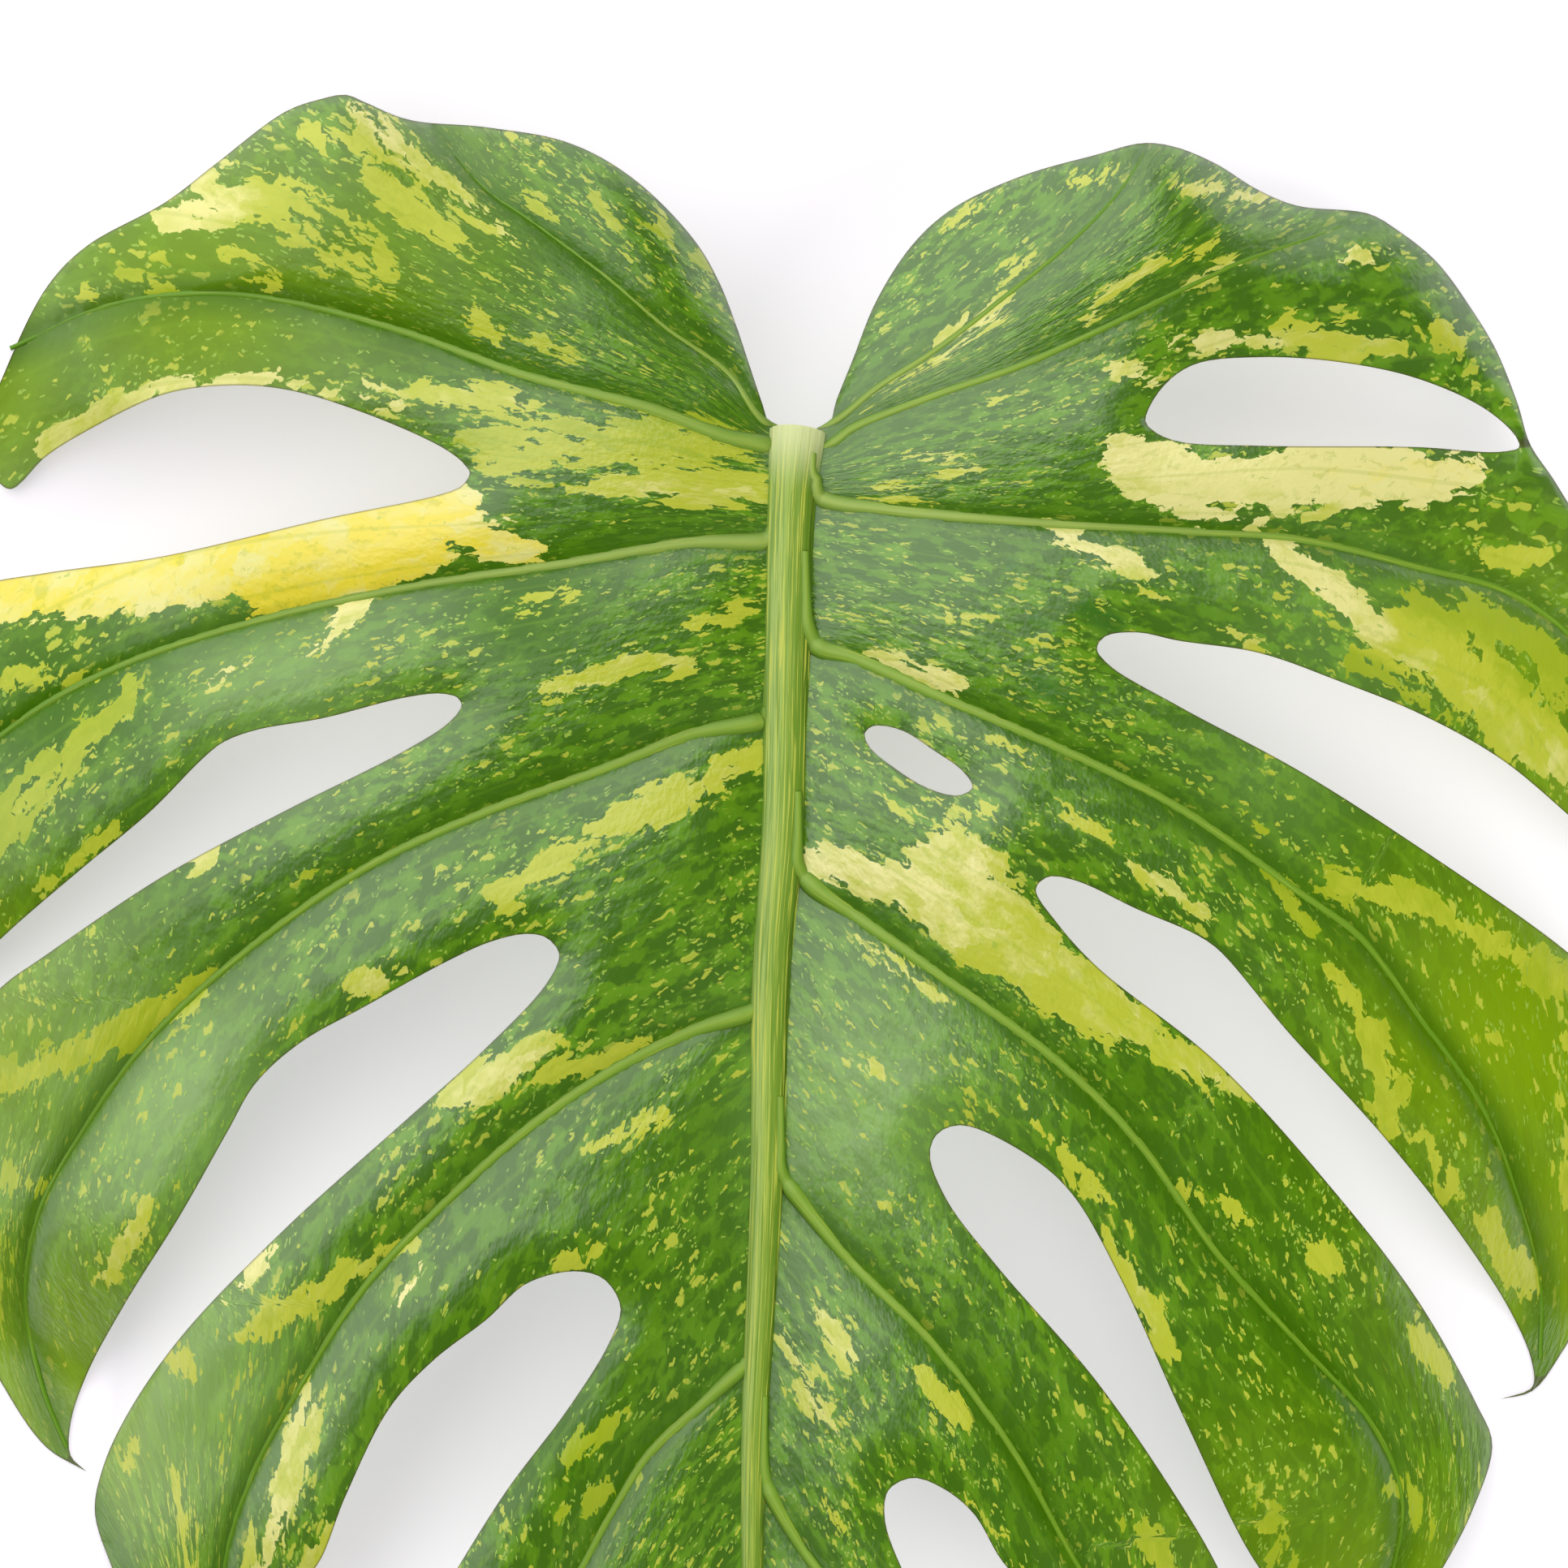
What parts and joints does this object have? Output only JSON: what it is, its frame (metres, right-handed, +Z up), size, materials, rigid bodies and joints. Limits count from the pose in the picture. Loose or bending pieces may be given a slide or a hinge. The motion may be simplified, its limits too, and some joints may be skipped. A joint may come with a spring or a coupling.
{
  "type": "monstera leaf",
  "caption": "Large heart-shaped split leaf, picked with a short stalk stub, lying face up: raised midrib and side ribs, deep slots, two perforations, drooping lobes, cream and yellow flecks.",
  "frame": {"origin": "middle of the leaf's bounding box, on the surface that it lies on", "axes": "+Y from the leaf's pointed end towards its stalk, +X to the leaf's right seen from above with the stalk away from the viewer, +Z up out of the glossy face"},
  "size_m": [0.4694, 0.513, 0.0651],
  "materials": {
    "leaf_tissue": "satin"
  },
  "bodies": {
    "root": {"monstera_leaf": "leaf_tissue"}
  },
  "joints": []
}
